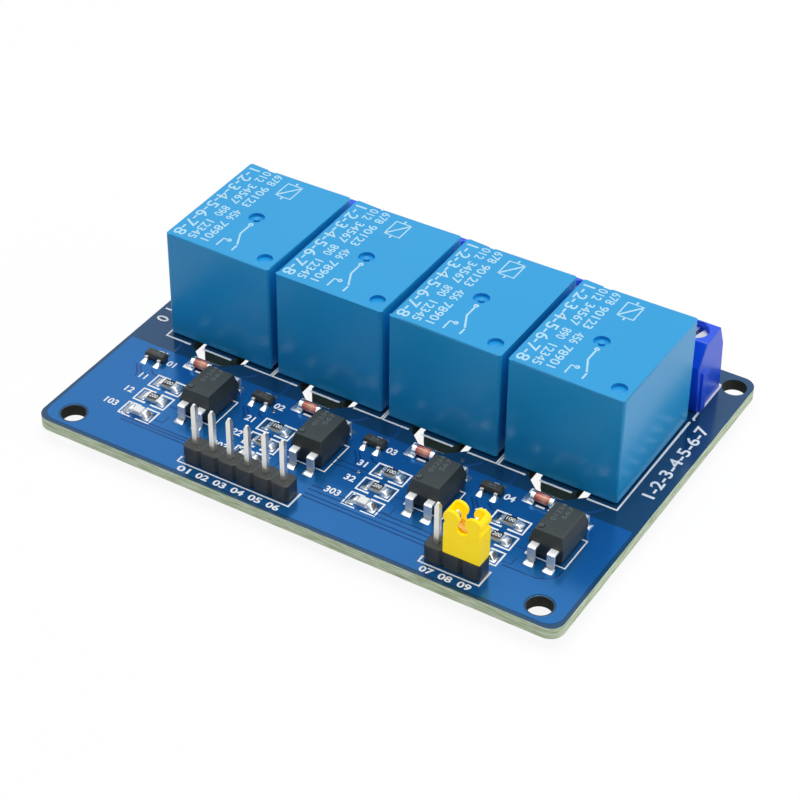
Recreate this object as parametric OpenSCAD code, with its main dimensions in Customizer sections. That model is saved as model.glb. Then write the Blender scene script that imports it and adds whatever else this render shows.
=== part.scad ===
// Four-channel relay module: a circuit board with four sealed relays, their driver
// parts in front of them, two pin headers with a shorting jumper, and four three-way
// screw terminal blocks along the rear edge.
// Millimetres. Origin: midpoint of the two front mounting holes, on the board's
// underside. +X runs along the front edge to the right, +Y to the terminals, +Z up.

/* [Board] */
// Thickness of the board
board_t = 1.6; // [1.2:0.1:2.0]
// Radius of the board's corners
corner_r = 1.9; // [1:0.1:2.2]
// Board left and right of the row of relays
side_margin = 3.9; // [3.8:0.1:8]
// Board in front of the relays
front_zone = 22.9; // [22.5:0.1:30]
// Board behind the terminal blocks
rear_margin = 3.2; // [3:0.1:6]

/* [Mounting holes] */
// Diameter of the four mounting holes
hole_d = 3.2; // [2.6:0.1:3.3]
// Front holes: from the side edge of the board
front_hole_inset = 3.8; // [3:0.1:4.2]
// Front holes: from the front edge of the board
front_hole_edge = 2.9; // [2.5:0.1:3.6]
// Rear holes: from the side edge of the board
rear_hole_inset = 2.25; // [1.9:0.05:2.4]
// Rear holes: from the rear edge of the board
rear_hole_edge = 2.5; // [2.2:0.1:3]

/* [Relays] */
// Gap between neighbouring relays
relay_gap = 0.94; // [0.4:0.02:6]
// Relay case along the row
relay_w = 15.5; // [13.6:0.1:18]
// Relay case from front to rear
relay_l = 19.2; // [18.8:0.1:20]
// Top of the relay case above the board
relay_h = 15.6; // [15.2:0.1:18]
// Wall of the relay case
relay_wall = 0.9; // [0.7:0.05:1]
// Feet that hold the relay off the board
relay_foot = 0.3; // [0.2:0.05:0.5]
// Swing of the armature between its two contacts, in degrees
armature_swing = 2.2; // [1.6:0.1:2.4]

/* [Isolation slots] */
// Width of the milled slot under each relay
slot_w = 1.7; // [1.2:0.1:2]
// Distance of each straight arm from the relay's centre line
slot_arm = 3.25; // [2.9:0.05:3.5]
// How far the slot's centre line reaches in front of the relay
slot_reach = 1.65; // [1.2:0.05:2.2]

/* [Terminal blocks] */
// Centre distance of neighbouring poles
pole_pitch = 5.08; // [5:0.04:5.2]
// Height of the blocks above the board
terminal_h = 10.1; // [9.8:0.1:12]
// Depth of the blocks at their base shoulder
terminal_depth = 7.2; // [7:0.1:9]
// Gap between the relays and the blocks
terminal_gap = 1.15; // [0.6:0.05:3]
// Offset of each block from its relay's centre line
terminal_shift = 0.45; // [0:0.05:0.5]
// Diameter of the screw heads
screw_head_d = 3.1; // [2.8:0.1:3.2]
// Thread diameter of the clamp screws
screw_d = 2.4; // [2:0.1:2.5]

/* [Headers and jumper] */
// Contact pitch of both headers
pin_pitch = 2.54; // [2.2:0.02:2.8]
// Side of the square contact pins
pin_side = 0.64; // [0.5:0.02:0.66]
// Height of the header bodies
header_h = 2.5; // [2:0.1:3]
// Pin tips above the board
pin_top = 8.4; // [7.8:0.1:9]
// Header centre line from the board's front edge
header_edge = 3.7; // [3.5:0.05:4.2]
// First contact of the six-way header, from the board's centre line
input_header_x = -14.85; // [-16:0.05:-14]
// First contact of the three-way header, from the board's centre line
power_header_x = 19.0; // [18:0.05:19.5]
// Width of the jumper cap
jumper_w = 5.0; // [4.9:0.02:5.06]
// Height of the jumper cap
jumper_h = 6.5; // [6.2:0.1:8]

/* [Surface-mounted parts] */
// Optocoupler body along the row
opto_w = 4.6; // [4.2:0.1:5]
// Optocoupler body from front to rear
opto_l = 6.4; // [6:0.1:6.8]
// Optocoupler top above the board
opto_h = 3.8; // [3.4:0.1:4.4]
// Optocouplers, from the relay's centre line
opto_x = 5.1; // [4.6:0.1:5.4]
// Chip resistors and indicators, from the relay's centre line
chip_x = -1.5; // [-1.9:0.05:-1.2]
// Spacing of the chip rows
chip_row = 3.18; // [2.6:0.02:3.2]
// Length of the diodes
diode_l = 3.0; // [2.8:0.1:3.6]
// Diameter of the diodes' end caps
diode_d = 1.35; // [1.2:0.05:1.7]

/* [Hidden] */
$fn = 48;
eps = 0.01;
// running fit between pieces that slide or turn
fit = 0.05;
// set-down between pieces that are pressed or moulded together
seat = 0.02;

relays = 4;
poles = 3;
block_w = poles * pole_pitch + 0.06;
rib_t = 0.35;
// the wider of relay and terminal block sets the spacing of the channels
relay_pitch = max(relay_w + relay_gap, block_w + rib_t + fit);
board_w = relays * relay_pitch + 2 * side_margin;
board_front = -front_hole_edge;
relay_front = board_front + front_zone;
relay_back = relay_front + relay_l;
terminal_front = relay_back + terminal_gap;
terminal_back = terminal_front + terminal_depth;
board_back = terminal_back + rear_margin;
board_l = board_back - board_front;
front_hole_x = board_w / 2 - front_hole_inset;
rear_hole_x = board_w / 2 - rear_hole_inset;
rear_hole_y = board_back - rear_hole_edge;

// solder tails under the board all end on one plane, which the module rests on
tail = 1.6;
solder_h = 1.1;
round_pin_d = 1.0;
coil_pin_d = 0.7;
plating_gap = 0.15;

// relay inside, up from the board and back from the case's front face
relay_top = board_t + relay_h;
case_floor = board_t + relay_foot;
base_top = case_floor + 1.8;
case_in_w = relay_w - 2 * relay_wall;
case_in_l = relay_l - 2 * relay_wall;
yoke_t = 1.2;
yoke_w = case_in_w - 2.7;
leg_w = 8;
yoke_front = relay_wall + 0.35;
hinge_y = yoke_front + yoke_t;
core_y = hinge_y + 5.75;
core_r = 2.0;
pole_r = 3.3;
pole_t = 0.9;
blade_t = 0.9;
leaf_t = 0.25;
contact_r = 1.3;
contact_y = relay_l - 3.3;
post_y = relay_l - 2.7;
post_x = relay_w / 2 - 1.75;
coil_pin_y = 4.3;
common_pin_y = hinge_y - 0.15;
case_inner_top = relay_top - relay_wall;
nc_bar_z = case_inner_top - 0.45;
leaf_z = nc_bar_z - 0.7;
blade_z = leaf_z - blade_t;
yoke_top = blade_z - fit;
contact_gap = (contact_y + contact_r - hinge_y) * sin(armature_swing) + fit;
pole_gap = (core_y + pole_r - hinge_y) * sin(armature_swing) + fit;
core_top = blade_z - pole_gap;
no_top = leaf_z - 0.5 - contact_gap;
flange_t = 0.7;
spool_floor = base_top + yoke_t + fit;
spool_top = core_top - pole_t - seat;
winding_r = case_in_w / 2 - 1.65;

// terminal inside
block_top = board_t + terminal_h;
cell_w = 3.9;
cell_floor = board_t + 0.9;
cage_h = 5.6;
cage_wall = 0.65;
cage_front = terminal_front + 1.9;
cage_l = 4.3;
screw_y = terminal_front + 3.7;
screw_head_h = 1.5;
screw_top = block_top - 0.7;

header_y = board_front + header_edge;
jumper_x = power_header_x + 1.5 * pin_pitch;
jumper_z = board_t + header_h + seat;
jumper_d = 2.5;
jumper_cell_w = 2 * pin_pitch - 1.18;
jumper_cell_d = 1.5;
lobe_r = 1.05;

opto_y = relay_front - 9.75;
chip_y = relay_front - 9.35;
transistor_x = -6.15;
transistor_y = relay_front - 5.5;
diode_x = 0.15;
diode_cap_l = 0.5;
diode_y = relay_front - 4.25;
chip = [2.0, 1.25, 0.5];
lead_t = 0.25;
opto_lead_w = 1.0;
opto_lead_x = 1.27;
opto_lead_out = 1.5;
opto_lead_foot = 0.9;
opto_lead_z = 1.95;
opto_mid = opto_lead_z + 0.15;
opto_draft = 0.46;

function relay_x(k) = (k - (relays + 1) / 2) * relay_pitch;
function block_x(k) = relay_x(k) + terminal_shift;
function pole_x(k, i) = block_x(k) + (i - (poles + 1) / 2) * pole_pitch;

// ---- helpers ----

// box centred in X and Y, standing on z = 0
module slab(w, d, h) {
    translate([-w / 2, -d / 2, 0]) cube([w, d, h]);
}

// box centred in X and Y with rounded upright edges
module rounded_slab(w, d, h, r) {
    linear_extrude(h) union() {
        square([w - 2 * r, d], center = true);
        square([w, d - 2 * r], center = true);
        for (x = [-1, 1], y = [-1, 1]) translate([x * (w / 2 - r), y * (d / 2 - r)]) circle(r);
    }
}

// profile drawn as [y, z], extruded by w and centred on x = 0
module along_x(w) {
    translate([-w / 2, 0, 0]) rotate([90, 0, 90]) linear_extrude(w) children();
}

// profile drawn as [x, z], extruded by d and centred on y = 0
module along_y(d) {
    translate([0, d / 2, 0]) rotate([90, 0, 0]) linear_extrude(d) children();
}

module at_relay(k) {
    translate([relay_x(k), relay_front, 0]) children();
}

// every plated hole under a relay: common, two coil ends, two fixed contacts
module at_relay_pins(k) {
    at_relay(k) {
        translate([0, common_pin_y, 0]) children(0);
        for (s = [-1, 1]) {
            translate([s * post_x, coil_pin_y, 0]) children(1);
            translate([s * post_x, post_y, 0]) children(0);
        }
    }
}

module at_header_pins() {
    for (i = [0:5]) translate([input_header_x + i * pin_pitch, header_y, 0]) children();
    for (i = [0:2]) translate([power_header_x + i * pin_pitch, header_y, 0]) children();
}

module at_poles(k) {
    for (i = [1:poles]) translate([pole_x(k, i), screw_y, 0]) children();
}

// ---- board ----

// U-shaped slot around the common pin: chamfered outside, nearly square inside
module isolation_slot() {
    out = slot_arm + slot_w / 2;
    in = slot_arm - slot_w / 2;
    front = -slot_reach - slot_w / 2;
    back = -slot_reach + slot_w / 2;
    translate([0, 0, -1]) linear_extrude(board_t + 2) {
        difference() {
            polygon([[-out, 7], [-out, front + 2], [2.3 - out, front], [out - 2.3, front],
                [out, front + 2], [out, 7]]);
            polygon([[-in, 9], [-in, back + 0.6], [0.42 - in, back], [in - 0.42, back],
                [in, back + 0.6], [in, 9]]);
        }
        for (s = [-1, 1]) translate([s * slot_arm, 7]) circle(d = slot_w);
    }
}

module drill(d) {
    translate([0, 0, -1]) cylinder(d = d + 2 * plating_gap, h = board_t + 2, $fn = 32);
}

module pcb() color("#144A9C") {
    difference() {
        translate([0, (board_front + board_back) / 2, 0])
            rounded_slab(board_w, board_l, board_t, corner_r);
        for (s = [-1, 1]) {
            translate([s * front_hole_x, 0, -1]) cylinder(d = hole_d, h = board_t + 2);
            translate([s * rear_hole_x, rear_hole_y, -1]) cylinder(d = hole_d, h = board_t + 2);
        }
        for (k = [1:relays]) {
            at_relay(k) isolation_slot();
            at_relay_pins(k) {
                drill(round_pin_d);
                drill(coil_pin_d);
            }
            at_poles(k) drill(round_pin_d);
        }
        at_header_pins() drill(pin_side * 1.45);
    }
}

// cone of solder under the board, open along the pin
module solder_cone(d, r) {
    translate([0, 0, -solder_h]) difference() {
        cylinder(r1 = d / 2 + 0.15, r2 = r, h = solder_h, $fn = 32);
        translate([0, 0, -1]) cylinder(d = d + 2 * seat, h = solder_h + 2, $fn = 32);
    }
}

module solder_joints() color("#C3C7CB") {
    for (k = [1:relays]) {
        at_relay_pins(k) {
            solder_cone(round_pin_d, 1.3);
            solder_cone(coil_pin_d, 1.0);
        }
        at_poles(k) solder_cone(round_pin_d, 1.3);
    }
    at_header_pins() solder_cone(pin_side * 1.45, 0.95);
}

// ---- headers and jumper ----

// moulded strip with a V notch between neighbouring contacts
module header_body(n) {
    l = n * pin_pitch;
    notch = 0.35;
    translate([-pin_pitch / 2, -pin_pitch / 2, board_t]) difference() {
        cube([l, pin_pitch, header_h]);
        for (i = [0:n], y = [0, pin_pitch]) translate([i * pin_pitch, y, -1])
            linear_extrude(header_h + 2)
                polygon([[-notch, 0], [0, -notch], [notch, 0], [0, notch]]);
        for (i = [0:n - 1]) translate([(i + 0.5) * pin_pitch, pin_pitch / 2, -1])
            slab(pin_side + 2 * seat, pin_side + 2 * seat, header_h + 2);
    }
}

module input_header_body() color("#1D1F21") {
    translate([input_header_x, header_y, 0]) header_body(6);
}

module power_header_body() color("#1D1F21") {
    translate([power_header_x, header_y, 0]) header_body(3);
}

// square pin with a pointed tip at each end
module header_pin() {
    h = pin_side / 2;
    top = board_t + pin_top;
    t = 0.5;
    b = 0.15;
    intersection() {
        along_y(pin_side) polygon([[-b, -tail], [b, -tail], [h, t - tail], [h, top - t],
            [b, top], [-b, top], [-h, top - t], [-h, t - tail]]);
        along_x(pin_side) polygon([[-b, -tail], [b, -tail], [h, t - tail], [h, top - t],
            [b, top], [-b, top], [-h, top - t], [-h, t - tail]]);
    }
}

module header_pins() color("#D8D6CE") {
    at_header_pins() header_pin();
}

module jumper_cap() color("#FFDD00") {
    body_h = jumper_h - 2 * lobe_r - 0.5;
    lobe_z = jumper_h - lobe_r;
    lobe_x = jumper_w / 2 - lobe_r;
    translate([jumper_x, header_y, jumper_z]) difference() {
        union() {
            slab(jumper_w - 0.1, jumper_d, body_h + 0.5);
            for (s = [-1, 1]) translate([s * lobe_x, 0, lobe_z]) {
                rotate([90, 0, 0]) cylinder(r = lobe_r, h = jumper_d, center = true);
                translate([-s * 0.1, 0, body_h - lobe_z]) slab(1.6, jumper_d, lobe_z - body_h);
            }
        }
        // dip between the two ears
        translate([0, 0, body_h + 0.5]) rotate([90, 0, 0])
            cylinder(r = 0.75, h = jumper_d + 2, center = true);
        // open shaft for the contact clip
        translate([0, 0, -1]) slab(jumper_cell_w, jumper_cell_d, jumper_h + 2);
    }
}

// two square contact tubes joined by a bridge
module jumper_clip() color("#C9A24A") {
    tube_w = jumper_cell_w - pin_pitch - 2 * seat;
    tube_d = jumper_cell_d - 2 * seat;
    translate([jumper_x, header_y, jumper_z + 0.4]) difference() {
        union() {
            for (s = [-1, 1]) translate([s * pin_pitch / 2, 0, 0]) slab(tube_w, tube_d, 3.8);
            translate([0, 0, 2.9]) slab(pin_pitch, tube_d, 0.9);
        }
        for (s = [-1, 1]) translate([s * pin_pitch / 2, 0, -1])
            slab(pin_side + 2 * fit, pin_side + 2 * fit, 6);
    }
}

// ---- terminal blocks ----

// end profile of a block: sloped shoulder in front, wire side behind
module block_profile() {
    f = terminal_front;
    b = terminal_back;
    t = block_top;
    polygon([[f + 0.7, board_t], [f, t - 2.9], [f + 1.7, t], [b - 1.5, t],
        [b - 0.3, t - 3], [b, t - 7.4], [b, board_t]]);
}

module terminal_housing(k) {
    translate([block_x(k), 0, 0]) difference() {
        along_x(block_w) block_profile();
        for (i = [1:poles]) translate([(i - (poles + 1) / 2) * pole_pitch, 0, 0]) {
            // cell for the clamp, open to the rear as the wire entry
            translate([-cell_w / 2, cage_front - 0.1, cell_floor])
                cube([cell_w, terminal_back - cage_front + 1, cage_h + 0.2]);
            // shaft for the screw
            translate([0, screw_y, cell_floor + 1])
                cylinder(d = screw_head_d + 0.3, h = terminal_h + 2);
            // hole for the solder pin
            translate([0, screw_y, board_t - 1]) cylinder(d = round_pin_d + 0.1, h = 4, $fn = 32);
        }
        // shallow grooves in the front shoulder between the poles
        for (i = [1:poles - 1]) translate([(i - poles / 2) * pole_pitch, 0, block_top - 0.4])
            translate([0, (terminal_front + terminal_back) / 2, 0])
                slab(0.5, terminal_depth + 2, 1);
    }
    // dovetail rib on the right end, clear of the next block
    translate([block_x(k) + block_w / 2 - eps, terminal_front + 1.5, board_t])
        linear_extrude(terminal_h * 0.6) polygon([[0, -0.5], [rib_t, -0.75], [rib_t, 0.75], [0, 0.5]]);
}

// brass cage open front to rear, with its solder pin
module clamp() {
    translate([0, screw_y, 0]) {
        difference() {
            translate([0, cage_front + cage_l / 2 - screw_y, cell_floor + seat])
                slab(cell_w - 2 * fit, cage_l, cage_h);
            translate([0, cage_front + cage_l / 2 - screw_y, cell_floor + seat + cage_wall])
                slab(cell_w - 2 * fit - 2 * cage_wall, cage_l + 2, cage_h - 2 * cage_wall - 0.4);
            translate([0, 0, cell_floor + 2]) cylinder(d = screw_d + 2 * fit, h = cage_h);
        }
        translate([0, 0, -tail])
            cylinder(d = round_pin_d, h = cell_floor + seat + tail + 0.1, $fn = 32);
    }
}

module terminal_clamps(k) color("#C8A14B") {
    for (i = [1:poles]) translate([pole_x(k, i), 0, 0]) clamp();
}

// slotted screw, its tip just inside the cage
module terminal_screw(k, i) color("#C9CCD0") {
    tip = cell_floor + cage_h - 1.9;
    translate([pole_x(k, i), screw_y, 0]) difference() {
        union() {
            translate([0, 0, screw_top - screw_head_h])
                cylinder(d = screw_head_d, h = screw_head_h);
            translate([0, 0, tip]) cylinder(d = screw_d, h = screw_top - 1 - tip);
        }
        translate([0, 0, screw_top - 0.8]) rotate([0, 0, 35 + 40 * i + 25 * k])
            slab(screw_head_d + 1, 0.6, 2);
    }
}

// ---- relays ----

module relay_cover(k) color("#3E9BDD") {
    at_relay(k) translate([0, relay_l / 2, case_floor]) difference() {
        rounded_slab(relay_w, relay_l, relay_top - case_floor, 0.4);
        translate([0, 0, -1]) slab(case_in_w, case_in_l, case_inner_top - case_floor + 1);
        // vent recess with its nib, gate recess in the front right corner
        translate([0, -0.6, relay_top - case_floor - 0.45]) difference() {
            cylinder(r = 1.05, h = 2);
            translate([0, 0, -1]) cylinder(r = 0.4, h = 1.3);
        }
        translate([relay_w / 2 - 1.8, -relay_l / 2 + 2, relay_top - case_floor - 0.45])
            cylinder(r = 1, h = 2);
        // small notch in the rear top edge
        translate([3.35 - relay_w / 2, relay_l / 2, relay_top - case_floor - 0.6]) slab(1.3, 0.7, 2);
    }
}

// moulded base with its feet and the coil's spool
module relay_base(k) color("#23282D") {
    spool_w = case_in_w - 0.3;
    spool_l = 2 * (core_y - hinge_y) - 0.4;
    rail_x = leg_w / 2 + 0.1;
    at_relay(k) difference() {
        union() {
            translate([0, relay_l / 2, case_floor])
                slab(case_in_w - 2 * seat, case_in_l - 2 * seat, base_top - case_floor);
            for (x = [-1, 1], y = [3, relay_l - 5.2]) translate([x * (post_x - 1.05), y, board_t])
                cylinder(d = 1.0, h = relay_foot + 0.2, $fn = 32);
            for (s = [-1, 1]) translate([s * (rail_x + spool_w / 2) / 2, core_y, base_top - eps])
                slab(spool_w / 2 - rail_x, spool_l - 1.5, yoke_t + fit + 2 * eps);
            translate([0, core_y, spool_floor]) slab(spool_w, spool_l, flange_t);
            translate([0, core_y, spool_floor])
                cylinder(r = core_r + 0.5, h = spool_top - spool_floor);
            translate([0, core_y, spool_top - flange_t]) slab(spool_w - 1.6, spool_l, flange_t);
        }
        translate([0, core_y, spool_floor - 1]) cylinder(r = core_r + fit, h = relay_h);
        translate([0, common_pin_y, 0]) cylinder(d = round_pin_d + 2 * fit, h = 20, $fn = 32);
        for (s = [-1, 1]) {
            translate([s * post_x, coil_pin_y, 0])
                cylinder(d = coil_pin_d + 2 * fit, h = spool_floor + flange_t + eps, $fn = 32);
            translate([s * post_x, post_y, 0])
                cylinder(d = round_pin_d + 2 * fit, h = 20, $fn = 32);
        }
    }
}

module relay_coil(k) color("#A8552A") {
    at_relay(k) translate([0, core_y, spool_floor + flange_t + seat]) difference() {
        cylinder(r = winding_r, h = spool_top - spool_floor - 2 * flange_t - 2 * seat);
        translate([0, 0, -1]) cylinder(r = core_r + 0.5 + seat, h = relay_h);
    }
}

// L-shaped yoke with the core and its pole face
module relay_yoke(k) color("#9AA0A6") {
    at_relay(k) {
        translate([0, yoke_front + yoke_t / 2, base_top]) slab(yoke_w, yoke_t, yoke_top - base_top);
        translate([0, (yoke_front + core_y + 3) / 2, base_top])
            slab(leg_w, core_y + 3 - yoke_front, yoke_t);
        translate([0, core_y, base_top + yoke_t - eps])
            cylinder(r = core_r, h = core_top - base_top - yoke_t + eps);
        translate([0, core_y, core_top - pole_t]) cylinder(r = pole_r, h = pole_t);
    }
}

// hinged blade, contact leaf and contact rivet
module relay_armature(k) color("#B4B8BC") {
    blade_l = core_y + pole_r + 0.6 - yoke_front;
    at_relay(k) {
        translate([0, yoke_front + blade_l / 2, blade_z]) slab(yoke_w - 0.4, blade_l, blade_t);
        translate([0, (yoke_front + 1 + contact_y + 1) / 2, leaf_z - eps])
            slab(4.4, contact_y - yoke_front, leaf_t + eps);
        translate([0, contact_y, leaf_z - 0.5]) cylinder(r = contact_r, h = 0.5 + leaf_t + 0.2);
    }
}

// common, coil and fixed-contact pins of all relays
module relay_contacts() color("#C9B27A") {
    bar_l = post_x + 0.6;
    for (k = [1:relays]) at_relay(k) {
        translate([0, common_pin_y, -tail])
            cylinder(d = round_pin_d, h = base_top - seat + tail, $fn = 32);
        for (s = [-1, 1]) {
            translate([s * post_x, coil_pin_y, -tail])
                cylinder(d = coil_pin_d, h = spool_floor + flange_t + 0.8 + tail, $fn = 32);
            translate([s * post_x, post_y, -tail])
                cylinder(d = round_pin_d, h = base_top + tail + eps, $fn = 32);
        }
        // normally open contact below the leaf, normally closed contact above it
        translate([post_x, post_y, base_top]) slab(1.2, 0.5, no_top - 0.3 - base_top);
        translate([0, contact_y - 0.65, no_top - 0.55])
            cube([bar_l, post_y + 0.25 - contact_y + 0.65, 0.3]);
        translate([0, contact_y, no_top - 0.55]) cylinder(r = contact_r, h = 0.55);
        translate([-post_x, post_y, base_top]) slab(1.2, 0.5, nc_bar_z + 0.25 - base_top);
        translate([-bar_l, contact_y - 0.65, nc_bar_z])
            cube([bar_l, post_y + 0.25 - contact_y + 0.65, 0.25]);
        translate([0, contact_y, leaf_z + leaf_t + 0.2 + seat])
            cylinder(r = contact_r, h = nc_bar_z + 0.25 - leaf_z - leaf_t - 0.2 - seat);
    }
}

// ---- surface-mounted parts ----

// moulded body: draft on all four sides, widest at the parting line
module moulded_body(w, l, lift, mid, h, draft) {
    intersection() {
        along_x(w) polygon([[-l / 2 + draft / 2, lift], [-l / 2, mid], [-l / 2 + draft, h],
            [l / 2 - draft, h], [l / 2, mid], [l / 2 - draft / 2, lift]]);
        along_y(l) polygon([[-w / 2 + draft / 2, lift], [-w / 2, mid], [-w / 2 + draft, h],
            [w / 2 - draft, h], [w / 2, mid], [w / 2 - draft / 2, lift]]);
    }
}

// gull-wing lead from the body at y = 0 out to the front, foot on the board
module gull_lead(w, out, rise, foot) {
    t = lead_t;
    along_x(w) polygon([[0, rise], [0, rise + t], [-out + foot - t, rise + t],
        [-out + foot - 2 * t, rise + t / 2], [-out + foot - 2 * t, t], [-out, t], [-out, 0],
        [-out + foot - t, 0], [-out + foot - t, rise - t / 4], [-out + foot - 0.8 * t, rise]]);
}

module at_opto(k) {
    translate([relay_x(k) + opto_x, opto_y, board_t]) children();
}

module optocoupler(k) color("#2C3236") {
    at_opto(k) difference() {
        moulded_body(opto_w, opto_l, 0.15, opto_mid, opto_h, opto_draft);
        translate([-opto_w / 2 + opto_draft + 0.65, -opto_l / 2 + opto_draft + 0.7, opto_h - 0.12])
            cylinder(r = 0.4, h = 1, $fn = 32);
    }
}

module optocoupler_leads() color("#CFD2D4") {
    for (k = [1:relays], x = [-1, 1], y = [0, 180]) at_opto(k) rotate([0, 0, y])
        translate([x * opto_lead_x, -opto_l / 2 - seat, 0])
            gull_lead(opto_lead_w, opto_lead_out, opto_lead_z, opto_lead_foot);
}

module at_transistor(k) {
    translate([relay_x(k) + transistor_x, transistor_y, board_t]) children();
}

module transistor_bodies() color("#25282B") {
    for (k = [1:relays]) at_transistor(k) moulded_body(2.9, 1.3, 0.08, 0.55, 1.0, 0.14);
}

module transistor_leads() color("#CFD2D4") {
    for (k = [1:relays]) at_transistor(k) {
        for (x = [-0.95, 0.95]) translate([x, -0.65 - seat, 0]) small_lead();
        rotate([0, 0, 180]) translate([0, -0.65 - seat, 0]) small_lead();
    }
}

module small_lead() {
    along_x(0.42) polygon([[0, 0.45], [0, 0.6], [-0.3, 0.6], [-0.42, 0.15], [-0.8, 0.15],
        [-0.8, 0], [-0.27, 0], [-0.15, 0.45]]);
}

module at_diode(k) {
    translate([relay_x(k) + diode_x, diode_y, board_t + diode_d / 2]) rotate([0, 90, 0]) children();
}

module diode_glass() color("#E0684A") {
    for (k = [1:relays]) at_diode(k)
        cylinder(d = diode_d - 0.14, h = diode_l - 2 * diode_cap_l - seat, center = true, $fn = 32);
}

module diode_caps() color("#CDD0D3") {
    for (k = [1:relays], s = [-1, 1]) at_diode(k) translate([0, 0, s * (diode_l - diode_cap_l) / 2])
        cylinder(d = diode_d, h = diode_cap_l, center = true, $fn = 32);
}

// places of the chips of one channel: row 0 and 1 are resistors, row 2 the indicator
module at_chip(k, row) {
    translate([relay_x(k) + chip_x, chip_y - row * chip_row, board_t]) children();
}

module resistor_chips() color("#1E1F22") {
    for (k = [1:relays], row = [0, 1]) at_chip(k, row) slab(chip[0] - 0.6, chip[1], chip[2]);
}

module resistor_caps() color("#D2D5D7") {
    for (k = [1:relays], row = [0, 1], s = [-1, 1]) at_chip(k, row)
        translate([s * (chip[0] / 2 - 0.15), 0, 0]) slab(0.3, chip[1], chip[2]);
}

module status_leds() color("#E8EDEA") {
    for (k = [1:relays]) at_chip(k, 2) {
        slab(chip[0], chip[1], 0.3);
        translate([0, 0, 0.3 - eps]) slab(chip[0] - 0.7, chip[1], 0.5);
    }
}

// ---- one module a node ----

module terminal_housing_1() color("#2B35D2") terminal_housing(1);
module terminal_housing_2() color("#2B35D2") terminal_housing(2);
module terminal_housing_3() color("#2B35D2") terminal_housing(3);
module terminal_housing_4() color("#2B35D2") terminal_housing(4);
module terminal_clamps_1() terminal_clamps(1);
module terminal_clamps_2() terminal_clamps(2);
module terminal_clamps_3() terminal_clamps(3);
module terminal_clamps_4() terminal_clamps(4);
module terminal_screw_1a() terminal_screw(1, 1);
module terminal_screw_1b() terminal_screw(1, 2);
module terminal_screw_1c() terminal_screw(1, 3);
module terminal_screw_2a() terminal_screw(2, 1);
module terminal_screw_2b() terminal_screw(2, 2);
module terminal_screw_2c() terminal_screw(2, 3);
module terminal_screw_3a() terminal_screw(3, 1);
module terminal_screw_3b() terminal_screw(3, 2);
module terminal_screw_3c() terminal_screw(3, 3);
module terminal_screw_4a() terminal_screw(4, 1);
module terminal_screw_4b() terminal_screw(4, 2);
module terminal_screw_4c() terminal_screw(4, 3);
module relay_cover_1() relay_cover(1);
module relay_cover_2() relay_cover(2);
module relay_cover_3() relay_cover(3);
module relay_cover_4() relay_cover(4);
module relay_base_1() relay_base(1);
module relay_base_2() relay_base(2);
module relay_base_3() relay_base(3);
module relay_base_4() relay_base(4);
module relay_coil_1() relay_coil(1);
module relay_coil_2() relay_coil(2);
module relay_coil_3() relay_coil(3);
module relay_coil_4() relay_coil(4);
module relay_yoke_1() relay_yoke(1);
module relay_yoke_2() relay_yoke(2);
module relay_yoke_3() relay_yoke(3);
module relay_yoke_4() relay_yoke(4);
module relay_armature_1() relay_armature(1);
module relay_armature_2() relay_armature(2);
module relay_armature_3() relay_armature(3);
module relay_armature_4() relay_armature(4);
module optocoupler_1() optocoupler(1);
module optocoupler_2() optocoupler(2);
module optocoupler_3() optocoupler(3);
module optocoupler_4() optocoupler(4);

pcb();
solder_joints();
input_header_body();
power_header_body();
header_pins();
jumper_cap();
jumper_clip();
terminal_housing_1();
terminal_housing_2();
terminal_housing_3();
terminal_housing_4();
terminal_clamps_1();
terminal_clamps_2();
terminal_clamps_3();
terminal_clamps_4();
terminal_screw_1a();
terminal_screw_1b();
terminal_screw_1c();
terminal_screw_2a();
terminal_screw_2b();
terminal_screw_2c();
terminal_screw_3a();
terminal_screw_3b();
terminal_screw_3c();
terminal_screw_4a();
terminal_screw_4b();
terminal_screw_4c();
relay_cover_1();
relay_cover_2();
relay_cover_3();
relay_cover_4();
relay_base_1();
relay_base_2();
relay_base_3();
relay_base_4();
relay_coil_1();
relay_coil_2();
relay_coil_3();
relay_coil_4();
relay_yoke_1();
relay_yoke_2();
relay_yoke_3();
relay_yoke_4();
relay_armature_1();
relay_armature_2();
relay_armature_3();
relay_armature_4();
relay_contacts();
optocoupler_1();
optocoupler_2();
optocoupler_3();
optocoupler_4();
optocoupler_leads();
transistor_bodies();
transistor_leads();
diode_glass();
diode_caps();
resistor_chips();
resistor_caps();
status_leds();
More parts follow.
